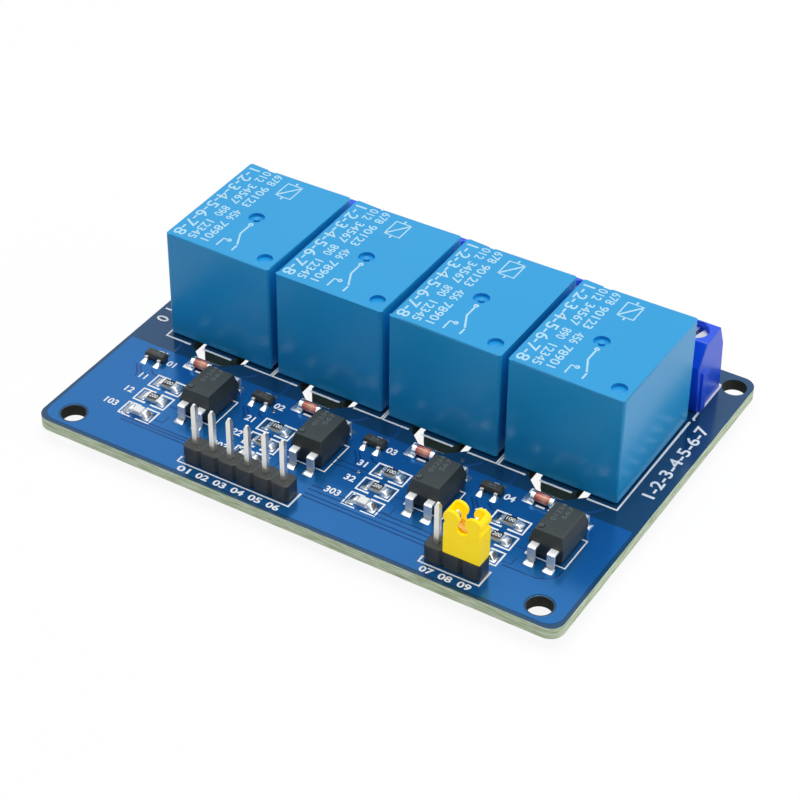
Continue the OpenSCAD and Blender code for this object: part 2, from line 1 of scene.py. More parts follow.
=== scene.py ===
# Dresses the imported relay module: materials, rounded plastic parts, printed legend, solder, light and camera.
import bpy
import math
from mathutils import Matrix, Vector


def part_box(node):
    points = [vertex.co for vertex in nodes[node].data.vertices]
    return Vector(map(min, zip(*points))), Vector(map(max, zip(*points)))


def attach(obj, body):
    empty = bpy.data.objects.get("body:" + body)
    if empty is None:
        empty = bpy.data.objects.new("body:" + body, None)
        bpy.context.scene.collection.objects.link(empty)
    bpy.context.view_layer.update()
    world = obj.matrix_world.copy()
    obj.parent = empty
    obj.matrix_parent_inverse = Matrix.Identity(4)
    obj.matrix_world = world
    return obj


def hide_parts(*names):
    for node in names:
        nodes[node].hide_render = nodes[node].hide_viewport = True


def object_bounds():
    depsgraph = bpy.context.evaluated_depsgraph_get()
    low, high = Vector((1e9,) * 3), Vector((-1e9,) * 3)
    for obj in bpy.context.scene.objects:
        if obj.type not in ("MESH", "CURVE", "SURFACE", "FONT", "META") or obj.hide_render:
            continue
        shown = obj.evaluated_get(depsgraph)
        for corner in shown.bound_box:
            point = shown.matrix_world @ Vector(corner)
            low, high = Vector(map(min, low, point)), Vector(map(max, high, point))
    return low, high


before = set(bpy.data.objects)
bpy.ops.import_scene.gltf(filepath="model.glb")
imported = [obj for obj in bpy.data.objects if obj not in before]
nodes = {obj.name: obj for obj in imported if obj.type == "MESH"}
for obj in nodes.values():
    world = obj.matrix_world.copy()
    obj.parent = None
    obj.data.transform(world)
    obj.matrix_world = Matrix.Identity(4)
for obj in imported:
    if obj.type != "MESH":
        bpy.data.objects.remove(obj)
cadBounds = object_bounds()
mm = 0.001
print("frame loaded with", len(nodes), "CAD pieces")


def deselectAll():
    if bpy.context.object and bpy.context.object.mode != "OBJECT":
        bpy.ops.object.mode_set(mode="OBJECT")
    bpy.ops.object.select_all(action="DESELECT")


def makeActive(piece):
    deselectAll()
    piece.select_set(True)
    bpy.context.view_layer.objects.active = piece


def applyModifiers(piece):
    makeActive(piece)
    for modifier in list(piece.modifiers):
        bpy.ops.object.modifier_apply(modifier=modifier.name)


def joinPieces(pieces):
    makeActive(pieces[0])
    for piece in pieces:
        piece.select_set(True)
    if len(pieces) > 1:
        bpy.ops.object.join()
    return bpy.context.object


def sizeOf(node):  # low corner, high corner and middle of a CAD piece
    low, high = (Vector(corner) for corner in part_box(node))
    return low, high, (low + high) / 2


def finishPiece(piece, name, materials, body="board", smooth=35, replaced=()):
    makeActive(piece)
    bpy.ops.object.transform_apply(location=True, rotation=True, scale=True)
    if smooth:
        bpy.ops.object.shade_smooth_by_angle(angle=math.radians(smooth))
    piece.name = piece.data.name = name
    if materials:
        piece.data.materials.clear()
        for material in materials:
            piece.data.materials.append(material)
    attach(piece, body)
    if replaced:
        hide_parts(*replaced)
    return piece


def linearColour(code, alpha=1.0):
    parts = [int(code[i:i + 2], 16) / 255 for i in (1, 3, 5)]
    return tuple(c / 12.92 if c <= 0.04045 else ((c + 0.055) / 1.055) ** 2.4 for c in parts) + (alpha,)


def addNode(tree, kind, settings=None, links=None):
    node = tree.nodes.new(kind)
    for key, value in (settings or {}).items():
        if isinstance(key, int) or key in node.inputs.keys():
            node.inputs[key].default_value = value
        else:
            setattr(node, key, value)
    for key, source in (links or {}).items():
        tree.links.new(source, node.inputs[key])
    return node


def newMaterial(name):
    material = bpy.data.materials.new(name)
    material.use_nodes = True
    material.node_tree.nodes.clear()
    return material, material.node_tree


# patchSize and grainSize are the real sizes in mm of the cloudy variation and of the fine surface grain
def surfaceMaterial(name, look):
    material, tree = newMaterial(name)
    place = addNode(tree, "ShaderNodeTexCoord")
    patches = addNode(tree, "ShaderNodeTexNoise", {"Scale": 1 / (look["patchSize"] * mm), "Detail": 3.0},
                      {"Vector": place.outputs["Object"]})
    grain = addNode(tree, "ShaderNodeTexNoise", {"Scale": 1 / (look["grainSize"] * mm), "Detail": 2.0},
                    {"Vector": place.outputs["Object"]})
    colour = addNode(tree, "ShaderNodeMix", {"data_type": "RGBA", 6: linearColour(look["colour"]),
                                             7: linearColour(look["shade"])},
                     {0: patches.outputs["Fac"]})
    rough = addNode(tree, "ShaderNodeMapRange", {"To Min": look["rough"][0], "To Max": look["rough"][1]},
                    {"Value": grain.outputs["Fac"]})
    bump = addNode(tree, "ShaderNodeBump", {"Strength": look.get("bump", 0.3),
                                            "Distance": look.get("depth", 0.02) * mm},
                   {"Height": grain.outputs["Fac"]})
    shader = addNode(tree, "ShaderNodeBsdfPrincipled",
                     {"Metallic": look.get("metal", 0.0), "IOR": look.get("ior", 1.5),
                      "Coat Weight": look.get("coat", 0.0), "Coat Roughness": look.get("coatRough", 0.05),
                      "Specular IOR Level": look.get("gloss", 0.5),
                      "Subsurface Weight": look.get("glow", 0.0), "Subsurface Scale": 0.5 * mm,
                      # a finish given a glow level glows in its own colour: painted light, not a lamp
                      "Emission Color": linearColour(look["colour"]),
                      "Emission Strength": look.get("paintedGlow", 0.0)},
                     {"Base Color": colour.outputs[2], "Roughness": rough.outputs["Result"],
                      "Normal": bump.outputs["Normal"]})
    addNode(tree, "ShaderNodeOutputMaterial", {}, {"Surface": shader.outputs["BSDF"]})
    return material


finishes = {
    # moulded PBT with a polished face: clear reflections, slight waviness
    "relayBlue": {"colour": "#22A9EA", "shade": "#1FA3E4", "patchSize": 9, "grainSize": 1.6,
                  "rough": (0.2, 0.28), "bump": 0.1, "depth": 0.02, "gloss": 0.4},
    # blue solder mask over copper: even, glassy
    "maskOnCopper": {"colour": "#1C72BA", "shade": "#196CB4", "patchSize": 12, "grainSize": 0.5,
                     "rough": (0.14, 0.22), "bump": 0.05, "depth": 0.01, "metal": 0.52},
    # blue solder mask dipping into the etched gaps beside a track: the same gloss, darker
    "maskInGap": {"colour": "#135294", "shade": "#114B8A", "patchSize": 12, "grainSize": 0.5,
                  "rough": (0.14, 0.22), "bump": 0.05, "depth": 0.01, "metal": 0.5},
    # blue solder mask over a narrow track on bare laminate
    "maskOnTrack": {"colour": "#1B5290", "shade": "#184C88", "patchSize": 6, "grainSize": 0.5,
                    "rough": (0.12, 0.2), "bump": 0.05, "depth": 0.01, "metal": 0.2},
    # blue solder mask over bare laminate: darker, the weave faintly visible
    "maskOnLaminate": {"colour": "#1B5079", "shade": "#184870", "patchSize": 6, "grainSize": 0.6,
                       "rough": (0.12, 0.2), "bump": 0.08, "depth": 0.01, "metal": 0.3},
    # drilled glass-epoxy wall of the holes: painted shade, dark olive for the shade that falls inside the holes
    "shadedDrilledWall": {"colour": "#33362E", "shade": "#24271F", "patchSize": 0.5, "grainSize": 0.15,
                    "rough": (0.6, 0.8), "bump": 0.4, "depth": 0.03},
    # milled glass-epoxy wall of the isolation slots: dull grey-green, chalky, darker than the sawn edge as
    # painted shade inside the slots
    "shadedMilledWall": {"colour": "#5F7A72", "shade": "#48605A", "patchSize": 0.6, "grainSize": 0.15,
                   "rough": (0.6, 0.8), "bump": 0.4, "depth": 0.03},
    # epoxy legend ink: flat, a cold white
    "legendInk": {"colour": "#FFFFFF", "shade": "#F4FAFF", "patchSize": 1.0, "grainSize": 0.2,
                  "rough": (0.5, 0.65), "bump": 0.15, "depth": 0.01},
    # pad-printed ink on the relay covers: thin, so some blue comes through
    "padInk": {"colour": "#C4ECFF", "shade": "#A8E0FC", "patchSize": 0.8, "grainSize": 0.2,
               "rough": (0.4, 0.55), "bump": 0.15, "depth": 0.01},
    # PA66 terminal housings: saturated royal blue, semi-gloss
    "terminalBlue": {"colour": "#0F58F4", "shade": "#0E52EA", "patchSize": 3, "grainSize": 0.5,
                     "rough": (0.24, 0.36), "bump": 0.15, "depth": 0.02, "glow": 0.05},
    # glass-filled PBT header strips: near black, satin
    "headerBlack": {"colour": "#2A2D2D", "shade": "#343838", "patchSize": 1.2, "grainSize": 0.12,
                    "rough": (0.3, 0.42), "bump": 0.2, "depth": 0.02},
    # tin-plated brass pins: bright and smooth
    "pinTin": {"colour": "#FFFDF8", "shade": "#EFEBE2", "patchSize": 1.5, "grainSize": 0.4, "metal": 1.0,
               "rough": (0.26, 0.3), "bump": 0.01, "depth": 0.01},
    # reflowed solder: bright, rounded, a little frosty
    "solder": {"colour": "#F4F6F7", "shade": "#DDE2E5", "patchSize": 0.7, "grainSize": 0.3, "metal": 1.0,
               "rough": (0.2, 0.36), "bump": 0.08, "depth": 0.02},
    # hot-air-levelled pads: thin flat tin, mirror smooth, its grey darkened below bright tin as painted shade
    # for the dark surroundings the pads mirror
    "shadedPadTin": {"colour": "#A4AAB0", "shade": "#949AA2", "patchSize": 0.9, "grainSize": 0.4, "metal": 1.0,
               "rough": (0.12, 0.2), "bump": 0.05, "depth": 0.01},
    # tinned leads of the moulded parts, satin from plating
    "leadTin": {"colour": "#EEF0F0", "shade": "#D8DCDD", "patchSize": 0.8, "grainSize": 0.3, "metal": 0.65,
                "rough": (0.4, 0.54), "bump": 0.06, "depth": 0.02},
    # epoxy moulding compound with silica filler: fine grain, dull
    "mouldedEpoxy": {"colour": "#272F2E", "shade": "#2F3736", "patchSize": 1.0, "grainSize": 0.1,
                     "rough": (0.36, 0.52), "bump": 0.35, "depth": 0.02},
    # transistor moulding: same compound, browner
    "mouldedBrown": {"colour": "#2C2E2B", "shade": "#383A36", "patchSize": 0.8, "grainSize": 0.1,
                     "rough": (0.4, 0.56), "bump": 0.35, "depth": 0.02},
    # laser mark on the moulding compound: a lighter grey; the same grey also paints highlights along the header
    # seams
    "laserMarkAndSeamHighlight": {"colour": "#4E5858", "shade": "#5A6464", "patchSize": 0.4, "grainSize": 0.08,
                  "rough": (0.6, 0.75), "bump": 0.3, "depth": 0.01},
    # black glaze of the chip resistors
    "chipGlaze": {"colour": "#141517", "shade": "#1C1D1F", "patchSize": 0.6, "grainSize": 0.1,
                  "rough": (0.24, 0.38), "bump": 0.1, "depth": 0.01},
    # alumina body of the chip resistors: warm grey-white, matt
    "alumina": {"colour": "#F2EEDC", "shade": "#DEDAC6", "patchSize": 0.5, "grainSize": 0.08,
                "rough": (0.5, 0.7), "bump": 0.2, "depth": 0.01},
    # clear moulding of the indicators over a white base
    "clearMould": {"colour": "#FFFFFF", "shade": "#F6FAF6", "patchSize": 0.5, "grainSize": 0.3,
                   "rough": (0.08, 0.18), "bump": 0.05, "depth": 0.01, "coat": 0.6, "glow": 0.2},
    # PBT jumper cap: warm yellow, slightly translucent, with a painted glow of its own that brightens it
    "jumperYellow": {"colour": "#FFE000", "shade": "#FFDA00", "patchSize": 1.5, "grainSize": 0.3,
                     "rough": (0.28, 0.4), "bump": 0.1, "depth": 0.02, "glow": 0.2, "gloss": 0.3,
                     "paintedGlow": 0.34},
    # stamped phosphor bronze, tinned
    "springBronze": {"colour": "#E8C896", "shade": "#D6AE74", "patchSize": 0.8, "grainSize": 0.2,
                     "metal": 1.0, "rough": (0.22, 0.36), "bump": 0.1, "depth": 0.01},
    # turned screws, bright zinc
    "zincScrew": {"colour": "#DADDE0", "shade": "#C2C7CC", "patchSize": 0.9, "grainSize": 0.12, "metal": 1.0,
                  "rough": (0.2, 0.36), "bump": 0.2, "depth": 0.02},
    # brass clamp cages and contacts
    "cageBrass": {"colour": "#D8B05A", "shade": "#C49A46", "patchSize": 0.9, "grainSize": 0.2, "metal": 1.0,
                  "rough": (0.24, 0.4), "bump": 0.2, "depth": 0.02},
    # black base and spool of the relays
    "baseBlack": {"colour": "#1B1E21", "shade": "#23272A", "patchSize": 1.5, "grainSize": 0.15,
                  "rough": (0.4, 0.6), "bump": 0.3, "depth": 0.02},
    # enamelled copper winding
    "copperWinding": {"colour": "#B4582A", "shade": "#8E3F1C", "patchSize": 0.4, "grainSize": 0.12,
                      "metal": 0.8, "rough": (0.25, 0.4), "bump": 0.5, "depth": 0.04},
    # nickel-plated yoke and armature
    "nickelSteel": {"colour": "#B9BCC0", "shade": "#A4A8AC", "patchSize": 1.2, "grainSize": 0.2, "metal": 1.0,
                    "rough": (0.25, 0.4), "bump": 0.2, "depth": 0.01},
}
finish = {name: surfaceMaterial(name, look) for name, look in finishes.items()}


laminateLook = {"colour": "#CFE0BC", "pale": "#EEF6E6", "dark": "#A6B78C", "ply": 0.2, "fibre": 0.5,
                "stretch": 6, "darkAt": 0.36, "paleAt": 0.66}


# sawn glass-epoxy edge: pale plies of glass cloth between greenish resin, rough from the router
def laminateEdge():
    material, tree = newMaterial("sawnLaminate")
    place = addNode(tree, "ShaderNodeTexCoord")
    along = 1 / (laminateLook["fibre"] * laminateLook["stretch"] * mm)
    stretch = addNode(tree, "ShaderNodeMapping", {"Scale": (along, along, 1 / (laminateLook["ply"] * mm))},
                      {"Vector": place.outputs["Object"]})
    plies = addNode(tree, "ShaderNodeTexNoise", {"Scale": 1.0, "Detail": 4.0, "Roughness": 0.6},
                    {"Vector": stretch.outputs["Vector"]})
    chips = addNode(tree, "ShaderNodeTexNoise", {"Scale": 1 / (laminateLook["fibre"] * mm), "Detail": 4.0},
                    {"Vector": place.outputs["Object"]})
    ramp = addNode(tree, "ShaderNodeValToRGB", {}, {"Fac": plies.outputs["Fac"]})
    ramp.color_ramp.elements[0].position = laminateLook["darkAt"]
    ramp.color_ramp.elements[0].color = linearColour(laminateLook["dark"])
    ramp.color_ramp.elements[1].position = laminateLook["paleAt"]
    ramp.color_ramp.elements[1].color = linearColour(laminateLook["pale"])
    middle = ramp.color_ramp.elements.new(0.5)
    middle.color = linearColour(laminateLook["colour"])
    bump = addNode(tree, "ShaderNodeBump", {"Strength": 0.5, "Distance": 0.05 * mm},
                   {"Height": chips.outputs["Fac"]})
    shader = addNode(tree, "ShaderNodeBsdfPrincipled", {"Roughness": 0.6},
                     {"Base Color": ramp.outputs["Color"], "Normal": bump.outputs["Normal"]})
    addNode(tree, "ShaderNodeOutputMaterial", {}, {"Surface": shader.outputs["BSDF"]})
    return material


finish["sawnLaminate"] = laminateEdge()

# colours along the sleeve: the pale stop near the middle is a painted highlight, the last dark stops are the
# band at the minus end
diodeLook = {"length": 3.2, "ripple": 0.5,
             "shade": [(0.0, "#7E3020"), (0.3, "#DA6A4A"), (0.55, "#F8B090"), (0.74, "#DC6444"),
                       (0.8, "#6A2A1C"), (1.0, "#3C1C14")]}


# glass sleeve of a diode: orange-red from the dye, a painted highlight pale in the middle of the sleeve, darker
# towards its start, and a dark band at the minus end
def diodeGlass():
    material, tree = newMaterial("diodeGlass")
    place = addNode(tree, "ShaderNodeTexCoord")
    parts = addNode(tree, "ShaderNodeSeparateXYZ", {}, {0: place.outputs["Object"]})
    first, second = sizeOf("relay_cover_1")[2].x, sizeOf("relay_cover_2")[2].x
    start = sizeOf("diode_caps")[0].x
    along = addNode(tree, "ShaderNodeMath", {"operation": "SUBTRACT", 1: start}, {0: parts.outputs["X"]})
    cycle = addNode(tree, "ShaderNodeMath", {"operation": "MODULO", 1: second - first}, {0: along.outputs[0]})
    share = addNode(tree, "ShaderNodeMath", {"operation": "DIVIDE", 1: diodeLook["length"] * mm},
                    {0: cycle.outputs[0]})
    ramp = addNode(tree, "ShaderNodeValToRGB", {}, {"Fac": share.outputs[0]})
    stops = ramp.color_ramp.elements
    while len(stops) < len(diodeLook["shade"]):
        stops.new(0.5)
    for stop, (position, code) in zip(stops, diodeLook["shade"]):
        stop.position = position
        stop.color = linearColour(code)
    ripple = addNode(tree, "ShaderNodeTexNoise", {"Scale": 1 / (diodeLook["ripple"] * mm), "Detail": 2.0},
                     {"Vector": place.outputs["Object"]})
    bump = addNode(tree, "ShaderNodeBump", {"Strength": 0.08, "Distance": 0.02 * mm},
                   {"Height": ripple.outputs["Fac"]})
    shader = addNode(tree, "ShaderNodeBsdfPrincipled",
                     {"Roughness": 0.1, "Coat Weight": 0.8, "Coat Roughness": 0.04},
                     {"Base Color": ramp.outputs["Color"], "Normal": bump.outputs["Normal"]})
    addNode(tree, "ShaderNodeOutputMaterial", {}, {"Surface": shader.outputs["BSDF"]})
    return material


finish["diodeGlass"] = diodeGlass()

print("materials made:", len(finish))


view = {"place": (120.70, -177.01, 186.11), "turn": (51.764, -0.472, 31.390), "lens": 107.13, "sensor": 36}


def makeCamera():
    deselectAll()
    bpy.ops.object.camera_add(location=[v * mm for v in view["place"]],
                              rotation=[math.radians(a) for a in view["turn"]])
    camera = bpy.context.object
    camera.name = "viewCamera"
    camera.data.lens = view["lens"]
    camera.data.sensor_width = view["sensor"]
    camera.data.clip_start = 1 * mm
    camera.data.clip_end = 20
    bpy.context.scene.camera = camera


studio = {"floorSize": 2.4, "world": 0.16, "floor": "#F4F5F6", "white": 0.9, "whiteLevel": 1.02,
          "lamps": [("topSoftbox", (-0.03, 0.06, 0.62), (0.0, 0.02, 0.01), 0.6, 3.2),
                    ("rightFill", (0.5, 0.24, 0.3), (0.08, 0.05, 0.0), 0.45, 0.85)]}


def makeStudio():
    for name, place, aim, size, power in studio["lamps"]:
        deselectAll()
        bpy.ops.object.light_add(type="AREA", location=place)
        lamp = bpy.context.object
        lamp.name = name
        lamp.data.size = size
        lamp.data.energy = power
        lamp.rotation_euler = (Vector(aim) - Vector(place)).to_track_quat("-Z", "Y").to_euler()
    deselectAll()
    low = cadBounds[0]
    bpy.ops.mesh.primitive_plane_add(size=studio["floorSize"], location=(0, 0, low[2] - 0.02 * mm))
    floor = bpy.context.object
    floor.name = "paleFloor"
    material, tree = newMaterial("paleFloorPaint")
    path = addNode(tree, "ShaderNodeLightPath")
    seen = addNode(tree, "ShaderNodeMath", {"operation": "MAXIMUM"},
                   {0: path.outputs["Is Camera Ray"], 1: path.outputs["Is Transmission Ray"]})
    share = addNode(tree, "ShaderNodeMath", {"operation": "MULTIPLY", 1: studio["white"]},
                    {0: seen.outputs[0]})
    paint = addNode(tree, "ShaderNodeBsdfDiffuse", {"Color": linearColour(studio["floor"])})
    glow = addNode(tree, "ShaderNodeEmission", {"Color": (1, 1, 1, 1), "Strength": studio["whiteLevel"]})
    mix = addNode(tree, "ShaderNodeMixShader", {},
                  {0: share.outputs[0], 1: paint.outputs[0], 2: glow.outputs[0]})
    addNode(tree, "ShaderNodeOutputMaterial", {}, {"Surface": mix.outputs[0]})
    floor.data.materials.append(material)
    world = bpy.data.worlds.new("studioWorld")
    bpy.context.scene.world = world
    world.use_nodes = True
    tree = world.node_tree
    tree.nodes.clear()
    path = addNode(tree, "ShaderNodeLightPath")
    direct = addNode(tree, "ShaderNodeMath", {"operation": "MAXIMUM"},
                     {0: path.outputs["Is Camera Ray"], 1: path.outputs["Is Glossy Ray"]})
    level = addNode(tree, "ShaderNodeMapRange", {"To Min": studio["world"], "To Max": 1.0},
                    {"Value": direct.outputs[0]})
    sky = addNode(tree, "ShaderNodeBackground", {"Color": (1, 1, 1, 1)},
                  {"Strength": level.outputs["Result"]})
    addNode(tree, "ShaderNodeOutputWorld", {}, {"Surface": sky.outputs[0]})
    bpy.context.scene.view_settings.view_transform = "Standard"


makeCamera()
makeStudio()
print("camera, floor and lamps placed")


rounding = {"weld": 0.001, "flat": 0.4, "segments": 3}


def mergedCopy(node):
    piece = bpy.data.objects.new(node + "Copy", nodes[node].data.copy())
    bpy.context.scene.collection.objects.link(piece)
    makeActive(piece)
    bpy.ops.object.mode_set(mode="EDIT")
    bpy.ops.mesh.select_all(action="SELECT")
    bpy.ops.mesh.remove_doubles(threshold=rounding["weld"] * mm)
    bpy.ops.object.mode_set(mode="OBJECT")
    return piece


# flat faces stay flat beside rounded edges, while curved walls stay smooth
def crispFaces(piece, gentle=1, hard=30):
    mesh = piece.data
    around = {}
    for face in mesh.polygons:
        for key in face.edge_keys:
            around.setdefault(key, []).append(face.index)
    for face in mesh.polygons:
        if face.material_index == 0:
            bends = [mesh.polygons[other].normal.angle(face.normal, 0) for key in face.edge_keys
                     for other in around[key] if mesh.polygons[other].material_index == 0]
            face.use_smooth = any(math.radians(gentle) < bend < math.radians(hard) for bend in bends)
    for face in mesh.polygons:
        face.material_index = 0


# corners longer than the shortest one asked for are rounded, so small dimples keep their rims
def markCorners(piece, sharp, shortest):
    mesh = piece.data
    around = {}
    for face in mesh.polygons:
        for key in face.edge_keys:
            around.setdefault(key, []).append(face.normal)
    weights = mesh.attributes.new("bevel_weight_edge", "FLOAT", "EDGE")
    for edge in mesh.edges:
        sides = around.get(tuple(sorted(edge.vertices)), [])
        a, b = (mesh.vertices[i].co for i in edge.vertices)
        isCorner = len(sides) == 2 and sides[0].angle(sides[1], 0) > math.radians(sharp)
        if isCorner and (a - b).length > shortest * mm:
            weights.data[edge.index].value = 1.0


def roundedCopy(node, name, material, edge, body="board", sharp=40, shortest=0.0):
    piece = mergedCopy(node)
    bpy.ops.object.mode_set(mode="EDIT")
    bpy.ops.mesh.select_all(action="SELECT")
    bpy.ops.mesh.dissolve_limited(angle_limit=math.radians(rounding["flat"]))
    bpy.ops.object.mode_set(mode="OBJECT")
    piece.data.materials.clear()
    piece.data.materials.append(material)
    piece.data.materials.append(material)
    for face in piece.data.polygons:
        face.material_index = 0
    markCorners(piece, sharp, shortest)
    bevel = piece.modifiers.new("edges", "BEVEL")
    bevel.width = edge * mm
    bevel.segments = rounding["segments"]
    bevel.limit_method = "WEIGHT"
    bevel.use_clamp_overlap = False
    bevel.material = 1
    applyModifiers(piece)
    bpy.ops.object.shade_smooth_by_angle(angle=math.radians(sharp))
    crispFaces(piece)
    piece.data.materials.pop()
    return finishPiece(piece, name, None, body, 0, (node,))


edges = {"cover": 0.25, "terminal": 0.15, "header": 0.13, "jumper": 0.12, "opto": 0.09, "transistor": 0.07,
         "indicator": 0.15}

for k in range(1, 5):
    roundedCopy(f"relay_cover_{k}", f"relayCover{k}", finish["relayBlue"], edges["cover"],
                shortest=1.0)
    roundedCopy(f"terminal_housing_{k}", f"terminalHousing{k}", finish["terminalBlue"],
                edges["terminal"])
    roundedCopy(f"optocoupler_{k}", f"optocouplerBody{k}", finish["mouldedEpoxy"], edges["opto"],
                sharp=15, shortest=0.4)
roundedCopy("input_header_body", "inputHeader", finish["headerBlack"], edges["header"])
roundedCopy("power_header_body", "powerHeader", finish["headerBlack"], edges["header"])
roundedCopy("jumper_cap", "jumperCap", finish["jumperYellow"], edges["jumper"],
            "jumper", 30)
roundedCopy("transistor_bodies", "transistorBodies", finish["mouldedBrown"],
            edges["transistor"])
roundedCopy("status_leds", "indicators", finish["clearMould"], edges["indicator"])
print("plastic parts rounded")

cadFinish = {"solder_joints": "solder", "header_pins": "pinTin", "jumper_clip": "springBronze",
             "relay_contacts": "cageBrass", "optocoupler_leads": "leadTin", "transistor_leads": "leadTin",
             "diode_glass": "diodeGlass", "diode_caps": "solder", "resistor_caps": "solder",
             "terminal_clamps": "cageBrass", "terminal_screw": "zincScrew",
             "relay_base": "baseBlack", "relay_coil": "copperWinding", "relay_yoke": "nickelSteel",
             "relay_armature": "nickelSteel", "resistor_chips": "alumina"}
for name, piece in nodes.items():
    for start, look in cadFinish.items():
        if name.startswith(start):
            piece.data.materials.clear()
            piece.data.materials.append(finish[look])
print("CAD pieces painted")


board = {"edgeBand": 0.7, "slotReach": 10, "slotHalf": 5, "slotLead": 0.1, "slotBefore": 4}


def makeBoard():
    piece = mergedCopy("pcb")
    low, high, middle = sizeOf("pcb")
    for look in ("maskOnLaminate", "sawnLaminate", "shadedDrilledWall", "shadedMilledWall"):
        piece.data.materials.append(finish[look])
    for face in piece.data.polygons:
        side, centre = face.normal, face.center
        inwards = (middle - centre).to_2d().dot(side.to_2d()) > 0
        nearEdge = min(centre.x - low.x, high.x - centre.x, centre.y - low.y, high.y - centre.y)
        besideSlot = slotFront - board["slotLead"] * mm < centre.y < slotFront + board["slotReach"] * mm
        inSlot = besideSlot and min(abs(centre.x - sizeOf(f"relay_cover_{k}")[2].x)
                              for k in range(1, 5)) < board["slotHalf"] * mm
        if abs(side.z) > 0.5:
            face.material_index = 0
        elif nearEdge < board["edgeBand"] * mm and not inwards:
            face.material_index = 1
        else:
            # hole and slot walls take the darker wall finishes: painted shade inside them
            face.material_index = 3 if inSlot else 2
    finishPiece(piece, "circuitBoard", None, "board", 30, ("pcb",))
    for face in piece.data.polygons:
        face.use_smooth = abs(face.normal.z) < 0.5


slotFront = sizeOf("relay_cover_1")[0].y - board["slotBefore"] * mm
while len(nodes["pcb"].data.materials):
    nodes["pcb"].data.materials.pop()
makeBoard()
boardLow, boardHigh = sizeOf("pcb")[:2]
boardTop = boardHigh.z
print("board dressed")


# where the parts of one channel stand, read from the CAD pieces; half sizes in mm lead to their middles
half = {"chipLength": 1.0, "chipWidth": 0.625, "transistor": 1.45, "diode": 1.5}
relayX = [sizeOf(f"relay_cover_{k}")[2].x for k in range(1, 5)]
relayFront = sizeOf("relay_cover_1")[0].y
relayTop = sizeOf("relay_cover_1")[1].z
chipLow, chipHigh = sizeOf("resistor_caps")[:2]
chipX = chipLow.x + half["chipLength"] * mm - relayX[0]
chipInset = half["chipWidth"] * mm
chipRows = [chipHigh.y - chipInset, chipLow.y + chipInset, sizeOf("status_leds")[2].y]
transistorLow, transistorHigh, transistorMiddle = sizeOf("transistor_bodies")
transistorX = transistorLow.x + half["transistor"] * mm - relayX[0]
diodeLow, diodeMiddle = sizeOf("diode_caps")[::2]
diodeX = diodeLow.x + half["diode"] * mm - relayX[0]


# flat lines of ink or copper: one curve, made a mesh, flattened and half sunk in the surface below
def flatLines(name, lines, width, height, level, material, slot, body="board"):
    shape = bpy.data.curves.new(name, "CURVE")
    shape.dimensions = "3D"
    shape.bevel_depth = width / 2 * mm
    shape.bevel_resolution = 1
    for closed, points in lines:
        strand = shape.splines.new("POLY")
        strand.points.add(len(points) - 1)
        for spot, (x, y) in zip(strand.points, points):
            spot.co = (x, y, 0, 1)
        strand.use_cyclic_u = closed
    shape.use_fill_caps = True
    piece = bpy.data.objects.new(name, shape)
    bpy.context.scene.collection.objects.link(piece)
    makeActive(piece)
    bpy.ops.object.convert(target="MESH")
    piece = bpy.context.object
    piece.scale = (1, 1, 2 * height / width)
    piece.location = (0, 0, level)
    return finishPiece(piece, name, [material], body, 60)


lettering = {"capShare": 0.7, "sunk": 0.005, "resolution": 3}


# words: the built-in face, made a mesh, turned, drawn out to its length and set flat on a surface
def flatWords(name, words, thick, level, material, bold=0.0, body="board"):
    pieces = []
    for text, x, y, size, turn, length in words:
        deselectAll()
        bpy.ops.object.text_add(location=(x, y, level - lettering["sunk"] * mm),
                                rotation=(0, 0, math.radians(turn)))
        piece = bpy.context.object
        piece.data.body = text
        piece.data.align_x = "CENTER"
        piece.data.align_y = "CENTER"
        piece.data.size = (size - 2 * bold) / lettering["capShare"] * mm
        piece.data.offset = bold * mm
        piece.data.extrude = thick / 2 * mm
        piece.data.resolution_u = lettering["resolution"]
        makeActive(piece)
        bpy.ops.object.convert(target="MESH")
        piece = bpy.context.object
        if length:
            piece.scale.x = length * mm / piece.dimensions.x
        pieces.append(piece)
    piece = joinPieces(pieces)
    return finishPiece(piece, name, [material], body, 0)


def arc(x, y, radius, start, end, steps=12):
    turns = [math.radians(start + (end - start) * i / steps) for i in range(steps + 1)]
    return [(x + radius * math.cos(a), y + radius * math.sin(a)) for a in turns]


def box(x0, x1, y0, y1):
    return [(x0, y0), (x1, y0), (x1, y1), (x0, y1)]


# copper pour over the driver side of the board, under the mask, and its twin on the underside
pour = {"side": 0.52, "front": 0.6, "back": 16.67, "corner": 1.9, "thick": 0.035, "holeClear": 1.86,
        "sunk": 0.01, "mountInset": 3.8}
mountX = boardHigh.x - pour["mountInset"] * mm


